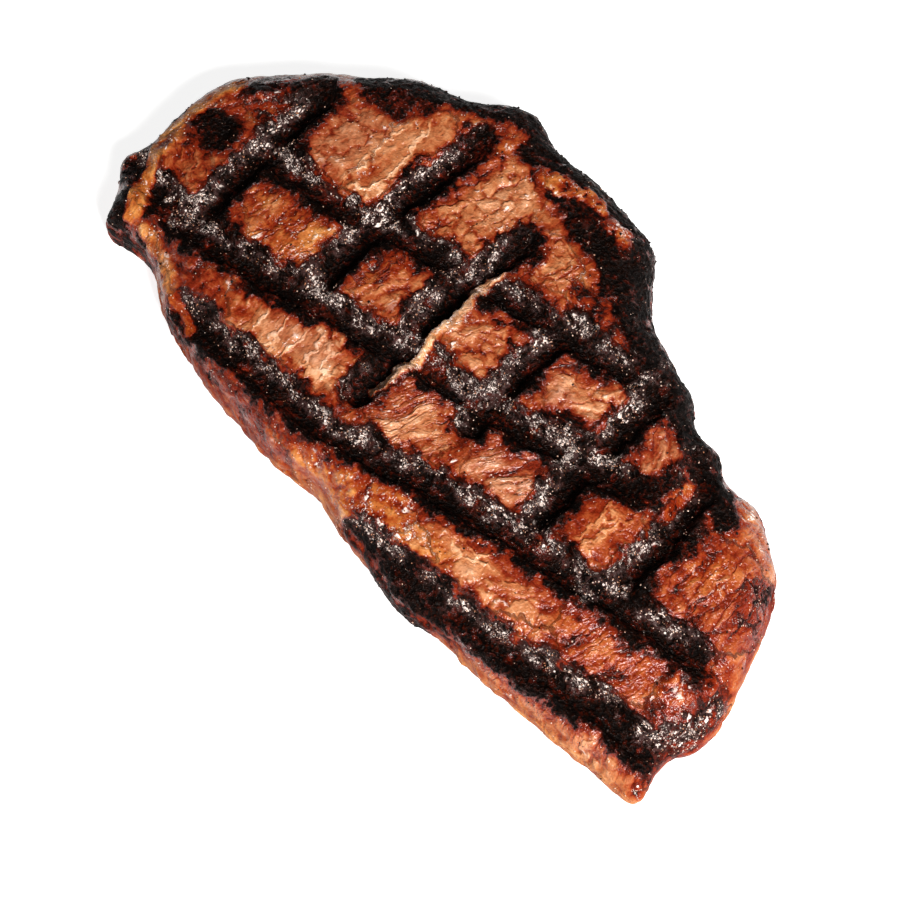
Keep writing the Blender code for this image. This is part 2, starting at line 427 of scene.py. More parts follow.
PANELS = (
    Panel(Patch((-62, 9), (9, 13)), Tone.BLUSH, Grain.COBBLED, 85, 6.0),
    Panel(Patch((-51, 16), (7, 17)), Tone.TAN, Grain.RIDGED, 92, 7.0),
    Panel(Patch((-28, 24), (11, 15)), Tone.TAN, Grain.COBBLED, 80, 4.2),
    Panel(Patch((-25, 27), (5, 8)), Tone.PALE, Grain.COBBLED, 80, 4.2),
    Panel(Patch((-6, 26), (8, 5.5)), Tone.TAN, Grain.COBBLED, 60, 3.4),
    Panel(Patch((12, 25), (11, 3.5), -8), Tone.RED, Grain.FOLDED, 0, 4.0),
    Panel(Patch((-54, -14), (13, 9)), Tone.ORANGE, Grain.FIBROUS, 95, 3.2),
    Panel(Patch((-46, -12), (5, 7)), Tone.GOLD, Grain.FIBROUS, 95, 3.0),
    Panel(Patch((-25, -5), (7.5, 9.5)), Tone.TAN, Grain.FOLDED, 80, 5.0),
    Panel(Patch((-31, -6), (4, 7)), Tone.ORANGE, Grain.FOLDED, 110, 4.0),
    Panel(Patch((-1, 2), (8, 8.5)), Tone.TAN, Grain.FOLDED, 60, 5.0),
    Panel(Patch((23, 12), (9, 10.5)), Tone.BLUSH, Grain.FOLDED, 50, 4.0),
    Panel(Patch((25, 12.5), (6, 6)), Tone.PALE, Grain.FOLDED, 50, 4.0),
    Panel(Patch((45, 12), (6.5, 8), -30), Tone.BLUSH, Grain.FIBROUS, 130, 2.6),
    Panel(Patch((-32, -31), (24, 8.5), 15), Tone.TAN, Grain.RIDGED, 104, 5.2),
    Panel(Patch((-28, -30), (12, 4.5), 15), Tone.BLUSH, Grain.RIDGED, 104, 5.2),
    Panel(Patch((2, -23), (11, 9.5), 15), Tone.PALE, Grain.FIBROUS, 66, 2.0),
    Panel(Patch((1, -24), (8, 7), 15), Tone.PALE, Grain.FIBROUS, 66, 2.0),
    Panel(Patch((27, -15), (10.5, 9), 15), Tone.BLUSH, Grain.FIBROUS, 62, 2.8),
    Panel(Patch((50, -8), (7, 9)), Tone.RUSSET, Grain.RIDGED, 85, 5.5),
    Panel(Patch((77, 1), (13, 12)), Tone.RUSSET, Grain.FIBROUS, 100, 2.6),
    Panel(Patch((74, 3), (6, 7)), Tone.ORANGE, Grain.FIBROUS, 95, 3.2),
    Panel(Patch((86, 8), (6, 8), -30), Tone.RED, Grain.FIBROUS, 100, 2.0),
    Panel(Patch((8, -44), (21, 7), 12), Tone.GOLD, Grain.FOLDED, 15, 7.0),
    Panel(Patch((40, -34), (21, 7), 15), Tone.TAN, Grain.FOLDED, 40, 6.0),
    Panel(Patch((36, -33), (7, 4), 15), Tone.TAN, Grain.RIDGED, 60, 3.0),
    Panel(Patch((22, -42), (14, 3.5), 15), Tone.GOLD, Grain.FOLDED, 20, 4.0),
    Panel(Patch((72, -25), (15, 8), 12), Tone.ORANGE, Grain.FIBROUS, 75, 3.0),
    Panel(Patch((92, -20), (8, 9)), Tone.RED, Grain.FOLDED, 95, 4.5),
    Panel(Patch((88, -21), (3, 6)), Tone.ORANGE, Grain.FOLDED, 80, 4.5),
    Panel(Patch((76, -45), (28, 5.5), 10), Tone.PALE, Grain.FIBROUS, 100, 2.4),
    Panel(Patch((-62, -39), (14, 4), -12), Tone.PLUM, Grain.SMOOTH, 0, 4.0),
    Panel(Patch((-49, -37), (7, 4), -12), Tone.RUSSET, Grain.SMOOTH, 0, 4.0),
    Panel(Patch((-84, -22), (7, 6)), Tone.RUSSET, Grain.FIBROUS, 140, 3.0),
    Panel(Patch((-84, 4), (6, 8), 60), Tone.RED, Grain.FOLDED, 60, 4.0),
    Panel(Patch((-28, -53), (30, 4)), Tone.PLUM, Grain.SMOOTH, 0, 4.0),
)
RIND = Stroke(((-93, 2), (-94.5, -8), (-93, -18), (-90.5, -27), (-86, -34), (-81, -39)), 4.6)
EDGE_ROPES = (
    RIND,
    Stroke(((-76, -40), (-66, -42), (-58, -45), (-50, -48.5)), 3.0, 0.8),
)
TENDON = Stroke(((-7.6, -26), (-8.3, -12), (-9.2, -2), (-11.6, 9), (-12.2, 14)), 2.8, 1.0, 1.0)

# The underside's grill marks: millimetres from one to the next, how far from a mark's middle
# its burn starts and ends to fade, and radians that they are turned from X.
UNDERSIDE_PITCH = 25.5
UNDERSIDE_FADE = (4.4, 2.6)
UNDERSIDE_TURN = -0.28

# The ways that two painted places face. Walls turned away from the key light are burnt black, as
# char and painted shade; the tip, where it faces the key light, is painted darker and gets painted
# highlights.
SHADED_CHAR_WALL = (-0.68, 0.73)
KEY_LIT_TIP = (0.78, -0.26, 0.56)

# Sizes of what varies the meat, in millimetres.
BROAD, PATCHY, BLOTCH, MID, ROUGH = 15, 7, 4.2, 2.6, 1.2
WANDER, JITTER = 9, 2.4
COBBLE, CRUST, CRACK = 6.5, 1.9, 0.6


# ------------------------------------------------------------------ the meat's surface
@dataclass(frozen=True)
class Skin:
    """What is known of every vertex of the meat.

    Attributes:
        relief: height of the fine surface above the smooth one, in millimetres.
        level: how pale the meat is, 0 burnt to 1 pale.
        warmth: its hue, -1 pink to 1 golden.
        glint_density: how densely highlights of fat are painted on it, 0 to 1.
        gloss: how wet it is, 0 to 1.
        seam: what parts its fibres, -1 a pale raised ridge to 1 a dark crack.
        flow: place along and across the fibres, and height, in fibres.
    """

    relief: Array
    level: Array
    warmth: Array
    glint_density: Array
    gloss: Array
    seam: Array
    flow: Array

    def at(self, index: Array) -> "Skin":
        """The same facts for a choice of vertices."""
        return Skin(*(getattr(self, field.name)[index] for field in fields(self)))


class MeatSurface:
    """Works out relief and colour for points on the smooth steak."""

    def __init__(self, points: Array, normals: Array) -> None:
        """Take the smooth surface and prepare the fields that all others use.

        Args:
            points: vertex positions in millimetres.
            normals: unit normals.
        """
        self.points = points
        self.normals = normals
        self.noise = Noise(BASE_SEED)
        self.fine = Noise(FINE_SEED)
        self.broad = self.noise.fractal(points / BROAD, 3)
        self.patchy = self.fine.fractal(points / PATCHY + 3.3, 3)
        self.blotch = self.noise.fractal(points / BLOTCH + 9.1, 4)
        self.mid = self.fine.fractal(points / MID + 5.2, 3)
        self.rough = self.fine.fractal(points / ROUGH, 2)
        wander = [self.noise.fractal(points / WANDER + shift, 3) for shift in (0.0, 31.7)]
        jitter = [self.fine.fractal(points / JITTER + shift, 2) for shift in (0.0, 47.1)]
        self.plan = points[:, :2] + 2.2 * np.stack(wander, 1) + 0.7 * np.stack(jitter, 1)
        height = points[:, 2] / float((CAD_HIGH.z - CAD_LOW.z) / MM) + 0.10 * self.patchy
        self.upper = ease(height, 0.45, 0.68) * ease(normals[:, 2], -0.1, 0.35)
        self.under = ease(normals[:, 2], -0.35, -0.75)
        self.side = 1 - np.clip(self.upper + self.under, 0, 1)
        self.relief = 0.20 * self.blotch + 0.10 * self.rough
        self.level = 0.58 + 0.14 * self.broad
        self.warmth = 0.25 + 0.5 * self.broad
        # How densely highlights are painted, before the layers add to it.
        self.glint_density = np.full(len(points), 0.10)
        # How densely highlights are painted on fat and wet meat.
        self.grease_glint = 0.20 + 0.30 * ease(self.patchy, 0.0, 0.4)
        self.gloss = 0.45 + 0.5 * self.broad
        self.seam = 0.5 * ease(self.patchy, -0.1, 0.4)
        self.burn = np.zeros(len(points))
        self.scorch = np.zeros(len(points))

    # -------------------------------------------------------------- grain
    def flow_along(self, lean: Array, pitch: Array, stretch: Array) -> Array:
        """Places along and across fibres.

        Args:
            lean: radians from X to the fibres.
            pitch: millimetres from one fibre to the next.
            stretch: how many times longer than wide a fibre is.

        Returns:
            How many fibres along, across and up, one row a vertex.
        """
        x, y = self.plan.T
        along, across = x * np.cos(lean) + y * np.sin(lean), y * np.cos(lean) - x * np.sin(lean)
        return np.column_stack([along / stretch, across, self.points[:, 2] / 2]) / pitch[:, None]

    def fibres(self, lean: float, pitch: float, stretch: float = 7.0) -> Array:
        """Ridges that run along one direction.

        Args:
            lean: degrees from X to the ridges.
            pitch: millimetres from one to the next.
            stretch: how many pitches a ridge runs before it fades.

        Returns:
            Heights from -1 to 1.
        """
        cos, sin = math.cos(math.radians(lean)), math.sin(math.radians(lean))
        along = self.plan @ (cos, sin)
        across = self.plan @ (-sin, cos) + 0.25 * pitch * self.mid
        coordinates = np.column_stack([along / (pitch * stretch), across / pitch,
                                       self.points[:, 2] / (pitch * stretch)])
        return self.noise.smooth(coordinates)

    def cracks(self, pitch: float, width: float) -> tuple[Array, Array]:
        """A net of fine cracks between cobbles.

        Args:
            pitch: the cobbles' size in millimetres.
            width: the cracks' width in millimetres.

        Returns:
            The crack mask, and the cobbles' crown, both 0 to 1.
        """
        first, second, _ = self.noise.cells(np.column_stack([self.plan, self.points[:, 2]]) / pitch)
        gap = (second - first) * pitch
        return ease(gap, width, width * 0.2), ease(gap, 0, pitch * 0.5)

    def grain_of(self, panel: Panel) -> tuple[Array, Array, Array]:
        """Relief and markings of one panel's grain.

        Args:
            panel: the panel whose grain to lay.

        Returns:
            The height in millimetres, and masks of pale ridges and of the lowest hollows, which are
            darkened as painted shade.
        """
        none = np.zeros(len(self.plan))
        if panel.grain is Grain.COBBLED:
            _, crown = self.cracks(panel.pitch, CRACK)
            return 0.35 * crown, none, none
        if panel.grain is Grain.FIBROUS:
            wave = self.fibres(panel.lean, panel.pitch)
            return 0.42 * wave, ease(wave, 0.2, 0.6) * 0.8, ease(wave, -0.15, -0.5)
        if panel.grain is Grain.RIDGED:
            wave = self.fibres(panel.lean, panel.pitch, 5.0)
            ridge = ease(np.abs(wave), 0.12, 0.0)
            return 0.25 * wave + 0.15 * ridge, none, ease(wave, -0.25, -0.6) * 0.4
        if panel.grain is Grain.FOLDED:
            wave = self.fibres(panel.lean, panel.pitch, 3.0)
            crease_shade = ease(np.abs(wave), 0.16, 0.0)
            return 0.8 * np.abs(wave) - 0.2, ease(np.abs(wave), 0.4, 0.75), crease_shade
        return 0.3 * self.blotch, none, none

    # -------------------------------------------------------------- layers
    def lay_panels(self) -> None:
        """Brown the panels between the grill marks, give each its grain, and paint shade in the
        hollows.
        """
        pale, crease_shade = np.zeros(len(self.plan)), np.zeros(len(self.plan))
        cover = pale.copy()
        open_side = np.maximum(self.upper, 0.7 * self.side)
        best, lean = np.full(len(cover), 0.3), np.full(len(cover), math.radians(84))
        pitch, stretch = np.full(len(cover), 3.5), np.full(len(cover), 3.0)
        for panel in PANELS:
            mask = panel.area.mask(self.plan + 1.5 * self.mid[:, None]) * open_side
            height, ridges, crease_shades = self.grain_of(panel)
            self.level = blend(self.level, panel.tone.level, 0.9 * mask)
            self.warmth = blend(self.warmth, panel.tone.warmth, 0.9 * mask)
            self.relief += height * mask * (1 - 0.7 * cover)
            pale = np.maximum(pale, ridges * mask)
            crease_shade = np.maximum(crease_shade, crease_shades * mask)
            cover = np.maximum(cover, mask)
            # Golden panels get denser painted highlights of fat.
            self.grease_glint += 0.4 * mask * max(panel.tone.warmth - 0.3, 0)
            wins = mask > best
            lean = np.where(wins, math.radians(panel.lean), lean)
            pitch = np.where(wins, panel.pitch, pitch)
            stretch = np.where(wins, panel.grain.stretch, stretch)
            best = np.maximum(best, mask)
            self.seam = blend(self.seam, panel.grain.seam, mask)
        self.flow = self.flow_along(lean, pitch, stretch)
        net, crown = self.cracks(COBBLE, CRACK)
        net = net * ease(self.patchy, -0.1, 0.3) * (1 - self.under)
        self.relief += (0.18 * crown - 0.25 * net) * (1 - self.under)
        # The lowest hollows of folds, fibres and cracks are darkened below: painted shade.
        crease_shade = np.maximum(crease_shade, 0.8 * net)
        self.level += 0.18 * self.blotch + 0.15 * self.mid + 0.10 * pale - 0.22 * crease_shade
        self.warmth -= 0.5 * pale

    def lay_burn(self, edge: Array, strength: float, where: Array,
                 reach: Union[float, Array] = 3.3) -> None:
        """Burn the surface inside an outline and scorch it around.

        Args:
            edge: millimetres outside the outline, negative inside.
            strength: how dense the char is, 0 to 1.
            where: how much of it takes, 0 to 1.
            reach: how many millimetres outside the outline the scorch fades.
        """
        edge = edge + 1.4 * self.mid + 0.5 * self.rough + 1.7 * self.patchy
        burn = strength * ease(edge, 1.3, -1.1) * where
        scorch = ease(edge / reach, 1.0, 0.1) * where
        self.burn = np.maximum(self.burn, burn)
        self.scorch = np.maximum(self.scorch, scorch)

    def lay_mark(self, mark: GrillMark, where: Array) -> Array:
        """Burn one grill mark, streak it, paint light and highlights on its wall that faces the key
        light and painted shade on its shaded wall, raise its lip and paint a highlight along it.

        Args:
            mark: the grill mark to lay.
            where: how much of its burn takes, 0 to 1.

        Returns:
            How deep the mark is pressed, in millimetres.
        """
        distance, offset = mark.stroke().measure(self.plan)
        half = mark.width / 2
        edge = distance - half + 0.9 * self.patchy + 0.5 * self.mid
        # The black burn and the scorch reach further on the shaded wall, right of the path: painted
        # shade.
        shade = ease(-offset, -0.3 * half, half)
        self.lay_burn(edge - 0.1 - 1.2 * shade, 1.0, where, 2.3 + 2.2 * shade)
        taper = ease(np.linalg.norm(self.plan - mark.path[-1], axis=1), 1, 9)
        run = np.subtract(mark.path[-1], mark.path[0])
        along = self.plan @ (run / np.hypot(*run))
        streaks = np.column_stack([along / 3, offset, 0 * offset]) / 2.2
        self.flow = np.where((edge < 0.5)[:, None], streaks, self.flow)
        # The wall left of the path faces the key light and gets painted highlights and grey char:
        # painted light.
        lit_wall = ease(offset, -0.2 * half, 0.45 * half) * ease(edge, 2.4, 0.8)
        lit_wall *= ease(self.patchy, -0.5, 0.05) * (0.3 + 0.7 * taper)
        self.glint_density = np.maximum(self.glint_density, lit_wall)
        lip = ease(np.abs(edge - 0.5), 0.7, 0.1) * ease(self.blotch, -0.1, 0.25)
        shaded_side = ease(-offset, 0, half)
        # A paler lip along the shaded side: painted highlight.
        self.level += 0.30 * lip * shaded_side * self.upper
        self.relief += (0.12 + 0.35 * lip * shaded_side) * taper * ease(np.abs(edge - 1), 1.6, 0)
        slope = 1 - 0.55 * ease(offset, 0.2 * half, 1.1 * half)
        return mark.depth * slope * taper * ease(edge, 0.5, -2.2)

    def lay_marks(self) -> None:
        """Press and burn the grill marks of the upper face."""
        wall = np.maximum(self.upper, 0.8 * self.side * ease(self.points[:, 2], 8, 15))
        fill = 1 - 0.35 * ease(self.patchy, 0.05, 0.4)
        sink = np.zeros(len(self.plan))
        for mark in LONG_MARKS + CROSS_MARKS:
            sink = np.maximum(sink, self.lay_mark(mark, wall * fill))
        self.relief -= sink * self.upper

    def lay_edges(self) -> None:
        """Burn the fat edge, the knob and the spots that touched the flame."""
        wall = np.maximum(self.upper, 0.85 * self.side)
        for stroke in BURNT_EDGES:
            self.lay_burn(stroke.measure(self.plan)[0] - stroke.width / 2,
                          stroke.strength, wall)
        for spot in BURNT_SPOTS:
            self.lay_burn(spot.edge(self.plan), spot.strength, self.upper)

    def underside_burn(self) -> Array:
        """The even, crossing grill marks of the underside, 0 to 1."""
        x, y = self.plan.T
        cos, sin = math.cos(UNDERSIDE_TURN), math.sin(UNDERSIDE_TURN)
        burn = np.zeros(len(x))
        for across in (cos * x + sin * y, cos * y - sin * x):
            offset = np.abs((across / UNDERSIDE_PITCH + 0.5) % 1 - 0.5) * UNDERSIDE_PITCH
            burn = np.maximum(burn, ease(offset, *UNDERSIDE_FADE))
        return burn

    def lay_fat(self) -> None:
        """Lay the rind, the sinew and the pockets of melted fat."""
        rope = np.zeros(len(self.plan))
        for stroke in EDGE_ROPES:
            rope = np.maximum(rope, stroke.mask(self.plan) * self.upper)
        self.level = blend(self.level, 0.80 + 0.5 * self.blotch, 0.85 * rope)
        self.warmth = blend(self.warmth, 0.9, rope)
        self.relief += 0.6 * rope
        sinew = TENDON.mask(self.plan) * self.upper * ease(self.blotch, -0.8, -0.3)
        pocket = np.zeros(len(self.plan))
        for oval in FAT_POCKETS:
            pocket = np.maximum(pocket, oval.mask(self.plan) * ease(self.mid, -0.5, -0.15))
        pocket = pocket * self.upper
        keep = (1 - pocket) * (1 - sinew) * (1 - 0.9 * rope)
        self.burn = self.burn * keep
        self.scorch = self.scorch * keep
        self.level = blend(self.level, 0.62 + 0.6 * self.blotch, 0.9 * pocket)
        self.warmth = blend(self.warmth, 0.85, pocket)
        self.level = blend(self.level, 0.92 + 0.3 * self.rough, 0.95 * sinew)
        self.relief += 0.7 * pocket + 0.8 * sinew
        # Fat gets denser painted highlights.
        self.grease_glint += 0.35 * pocket + 0.35 * rope + 1.0 * sinew
        self.gloss -= 0.4 * rope

    def lay_sides(self) -> None:
        """Brown the walls, which met no grill bar, burn black the walls that face away from the key
        light, as char and painted shade, paint the tip darker with painted highlights where it
        faces the key light, and mark the underside.
        """
        # Walls that face away from the key light burn black: char and painted shade.
        away = ease(self.normals[:, :2] @ SHADED_CHAR_WALL, 0.05, 0.55) * self.side
        self.lay_burn(2.5 - 6 * away, 0.9, away)
        wave = self.fibres(90, 3.0, 3.0)
        self.relief += 0.35 * wave * self.side
        low = self.side * ease(self.points[:, 2], 17, 8)
        self.level += low * (0.05 + 0.10 * wave + 0.25 * self.broad - 0.15 * self.mid)
        # Where the tip faces the key light it is painted darker and gets painted highlights.
        facing = ease(self.normals @ KEY_LIT_TIP, 0.75, 1.0)
        tip = facing * ease(self.plan[:, 0], 60, 85)
        self.level -= tip * (0.12 + 0.10 * self.side + 0.25 * ease(self.mid, 0.0, 0.4))
        self.grease_glint += 0.5 * tip
        self.warmth = blend(self.warmth, 0.9 + 0.3 * self.broad, 0.9 * low)
        self.gloss -= 0.6 * self.side + 0.4 * low + 0.5 * tip
        self.seam = self.seam * (1 - 0.6 * self.side)
        marks = self.under * self.underside_burn()
        self.burn = np.maximum(self.burn, ease(marks + 0.8 * self.mid, 0.35, 0.75))
        self.scorch = np.maximum(self.scorch, self.under * 0.5)

    def skin(self) -> Skin:
        """Lay every layer in turn.

        Returns:
            The relief, colours and masks, one row a vertex.
        """
        self.lay_panels()
        self.lay_edges()
        self.lay_marks()
        self.lay_fat()
        self.lay_sides()
        crust_first, _, crust_tag = self.fine.cells(self.points / CRUST)
        crust = (0.55 - crust_first) + 0.4 * (crust_tag - 0.5)
        burn = np.clip(self.burn, 0, 1)
        level = blend(self.level, 0.36 + 0.16 * self.mid, 0.85 * self.scorch)
        level = blend(level, 0.07 + 0.16 * ease(self.mid, -0.05, 0.5), burn)
        relief = self.relief + burn * (0.45 * crust + 0.2 * self.mid)
        relief *= 1 - 0.65 * self.under
        # How densely highlights are painted: on the char, most on the walls that face the key
        # light, and on fat.
        glint_density = self.glint_density * burn + 0.28 * burn * ease(self.blotch, 0.0, 0.4)
        glint_density = np.maximum(glint_density, self.grease_glint * (1 - 0.7 * burn))
        gloss = self.gloss + 0.3 * ease(self.mid, 0.0, 0.4)
        seam = self.seam * (1 - 0.8 * self.burn)
        return Skin(relief, np.clip(level, 0, 1), np.clip(self.warmth, -1, 1),
                    np.clip(glint_density, 0, 1), np.clip(gloss, 0, 1), seam, self.flow)


# ------------------------------------------------------------------ mesh work
def vectors(items: Any, name: str) -> Array:
    """Read one vector of every item of a mesh, one row an item."""
    values = np.empty(len(items) * 3, np.float32)
    items.foreach_get(name, values)
    return values.reshape(-1, 3).astype(float)


def mesh_points(mesh: bpy.types.Mesh) -> Array:
    """Vertex positions of a mesh, one row a vertex."""
    return vectors(mesh.vertices, "co")


def mesh_normals(mesh: bpy.types.Mesh) -> Array:
    """Vertex normals of a mesh, one row a vertex."""
    return vectors(mesh.vertex_normals, "vector")


def corners_of(items: Any, count: int) -> Array:
    """Read the vertices of every edge or face, each of which has the same count."""
    values = np.empty(len(items) * count, np.int32)
    items.foreach_get("vertices", values)
    return values.reshape(-1, count)


def inside_box(points: Array) -> Array:
    """Keep every point inside the solid's box, flat where the steak rests."""
    return np.clip(points, np.array(CAD_LOW), np.array(CAD_HIGH))


def set_points(mesh: bpy.types.Mesh, points: Array) -> None:
    """Move a mesh's vertices."""
    mesh.vertices.foreach_set("co", points.astype(np.float32).ravel())
    mesh.update()


def relax(points: Array, edges: Array, passes: int, pull: float = 0.6) -> Array:
    """Smooth a surface by pulling each vertex towards its neighbours.

    Args:
        points: vertex positions.
        edges: the two vertices of each edge.
        passes: how often to smooth.
        pull: the share of the way to its neighbours' middle that a vertex goes.

    Returns:
        The smoothed positions.
    """
    first, second = edges.T
    count = len(points)
    share = 1 / np.maximum(np.bincount(edges.ravel(), minlength=count), 1)
    points = points.copy()
    for _ in range(passes):
        for axis in range(3):
            value = points[:, axis]
            total = np.bincount(first, value[second], count)
            total += np.bincount(second, value[first], count)
            points[:, axis] = (1 - pull) * value + pull * total * share
    return points


def applied(piece: bpy.types.Object, name: str, kind: str, **settings: Any) -> None:
    """Add one modifier to a piece and apply it.

    Args:
        piece: the object to change.
        name: the modifier's name.
        kind: the modifier's type.
        settings: its settings.
    """
    modifier = piece.modifiers.new(name, kind)
    for key, value in settings.items():
        setattr(modifier, key, value)
    graph = bpy.context.evaluated_depsgraph_get()
    mesh = bpy.data.meshes.new_from_object(piece.evaluated_get(graph))
    old = piece.data
    piece.modifiers.clear()
    piece.data = mesh
    bpy.data.meshes.remove(old)


def linked(name: str, mesh: bpy.types.Mesh) -> bpy.types.Object:
    """Make an object of a mesh and link it to the scene."""
    piece = bpy.data.objects.new(name, mesh)
    bpy.context.scene.collection.objects.link(piece)
    return piece


# ------------------------------------------------------------------ shader work
Value = Union[float, "Signal"]


class Signal:
    """A node's output that takes part in Python arithmetic, one Math node an operation."""

    def __init__(self, bench: "Bench", socket: bpy.types.NodeSocket) -> None:
        """Wrap an output socket."""
        self.bench = bench
        self.socket = socket

    def math(self, operation: str, *values: Value) -> "Signal":
        """Add one Math node fed by the values in order."""
        sockets = dict(enumerate(values))
        return self.bench.node("ShaderNodeMath", {"operation": operation}, sockets)

    def __add__(self, other: Value) -> "Signal":
        """self + other."""
        return self.math("ADD", self, other)

    def __radd__(self, other: Value) -> "Signal":
        """other + self."""
        return self.math("ADD", other, self)

    def __sub__(self, other: Value) -> "Signal":
        """self - other."""
        return self.math("SUBTRACT", self, other)

    def __rsub__(self, other: Value) -> "Signal":
        """other - self."""
        return self.math("SUBTRACT", other, self)

    def __mul__(self, other: Value) -> "Signal":
        """self * other."""
        return self.math("MULTIPLY", self, other)

    def __rmul__(self, other: Value) -> "Signal":
        """other * self."""
        return self.math("MULTIPLY", other, self)

    def ramp(self, start: float, end: float) -> "Signal":
        """Ease from 0 at start to 1 at end."""
        settings = {"interpolation_type": "SMOOTHSTEP"}
        sockets = {"Value": self, "From Min": min(start, end), "From Max": max(start, end)}
        if start > end:
            sockets.update({"To Min": 1.0, "To Max": 0.0})
        return self.bench.node("ShaderNodeMapRange", settings, sockets)


class Bench:
    """A material's node tree, and the one method that adds nodes to it."""

    def __init__(self, name: str) -> None:
        """Start a material with only its output."""
        self.material = bpy.data.materials.new(name)
        self.material.use_nodes = True
        self.tree = self.material.node_tree
        self.tree.nodes.remove(self.tree.nodes["Principled BSDF"])

    def node(self, kind: str, settings: dict[str, Any], sockets: dict[Any, Any],
             output: Union[int, str] = 0) -> Signal:
        """Add a node, set it up and feed it.

        Args:
            kind: the node's type.
            settings: properties of the node, set first.
            sockets: values or signals by input name or number.
            output: which output to return.

        Returns:
            The chosen output.
        """
        made = self.tree.nodes.new(kind)
        for key, value in settings.items():
            setattr(made, key, value)
        for key, value in sockets.items():
            self.feed(made.inputs[key], value)
        return Signal(self, made.outputs[output])

    def feed(self, socket: bpy.types.NodeSocket, value: Any) -> None:
        """Link a signal into a socket, or set the socket's own value."""
        if isinstance(value, Signal):
            self.tree.links.new(value.socket, socket)
        else:
            socket.default_value = value

    def mixed(self, factor: Value, low: Any, high: Any) -> Signal:
        """Mix two colours by a factor."""
        settings = {"data_type": "RGBA", "clamp_factor": True}
        return self.node("ShaderNodeMix", settings, {0: factor, 6: low, 7: high}, 2)

    def tinted(self, colour: Signal, tinge: Signal) -> Signal:
        """Multiply one colour by another."""
        return self.node("ShaderNodeVectorMath", {"operation": "MULTIPLY"},
                         {0: colour, 1: tinge})

    def gradient(self, place: Signal, stops: Sequence[tuple[float, Array]]) -> Signal:
        """Read a colour off a gradient.

        Args:
            place: where to read it, 0 to 1.
            stops: the gradient's places and linear colours.

        Returns:
            The colour.
        """
        made = self.node("ShaderNodeValToRGB", {}, {"Fac": place})
        ladder = made.socket.node.color_ramp.elements
        while len(ladder) < len(stops):
            ladder.new(0.5)
        for step, (where, colour) in zip(ladder, stops):
            step.position = where
            step.color = (*colour, 1)
        return made

    def field(self, name: str, output: str = "Fac") -> Signal:
        """Read one of the mesh's named attributes."""
        return self.node("ShaderNodeAttribute", {"attribute_name": name}, {}, output)

    def place(self) -> Signal:
        """The point's place on the object, in millimetres."""
        spot = self.node("ShaderNodeTexCoord", {}, {}, "Object")
        return self.node("ShaderNodeVectorMath", {"operation": "SCALE"},
                         {0: spot, "Scale": 1 / MM})

    def shaken(self, spot: Signal, by: Signal, amount: float) -> Signal:
        """Push a place about by a noise's colour.

        Args:
            spot: the place to push.
            by: a noise's colour output.
            amount: how far, in the place's own units.

        Returns:
            The pushed place.
        """
        centred = self.node("ShaderNodeVectorMath", {"operation": "SUBTRACT"},
                            {0: by, 1: (0.5, 0.5, 0.5)})
        return self.node("ShaderNodeVectorMath", {"operation": "MULTIPLY_ADD"},
                         {0: centred, 1: (amount, amount, amount), 2: spot})

    def noise(self, spot: Signal, size: float, detail: float,
              output: Union[int, str] = "Fac") -> Signal:
        """Noise with features of a size, in the place's own units."""
        sockets = {"Vector": spot, "Scale": 1 / size, "Detail": detail, "Roughness": 0.6}
        return self.node("ShaderNodeTexNoise", {}, sockets, output)

    def cells(self, spot: Signal, size: float, output: str = "Distance",
              feature: str = "F1") -> Signal:
        """Cell noise with cells of a size, in the place's own units."""
        return self.node("ShaderNodeTexVoronoi", {"feature": feature},
                         {"Vector": spot, "Scale": 1 / size}, output)

    def coated(self, **sockets: Any) -> Signal:
        """Add a Principled shader.

        Args:
            sockets: values or signals, named as the shader's inputs with _ for a space.

        Returns:
            The shader.
        """
        named = {key.replace("_", " "): value for key, value in sockets.items()}
        return self.node("ShaderNodeBsdfPrincipled", {}, named)

    def finish(self, surface: Signal) -> bpy.types.Material:
        """Give the material its surface and return it."""
        self.feed(self.tree.nodes["Material Output"].inputs["Surface"], surface)
        return self.material


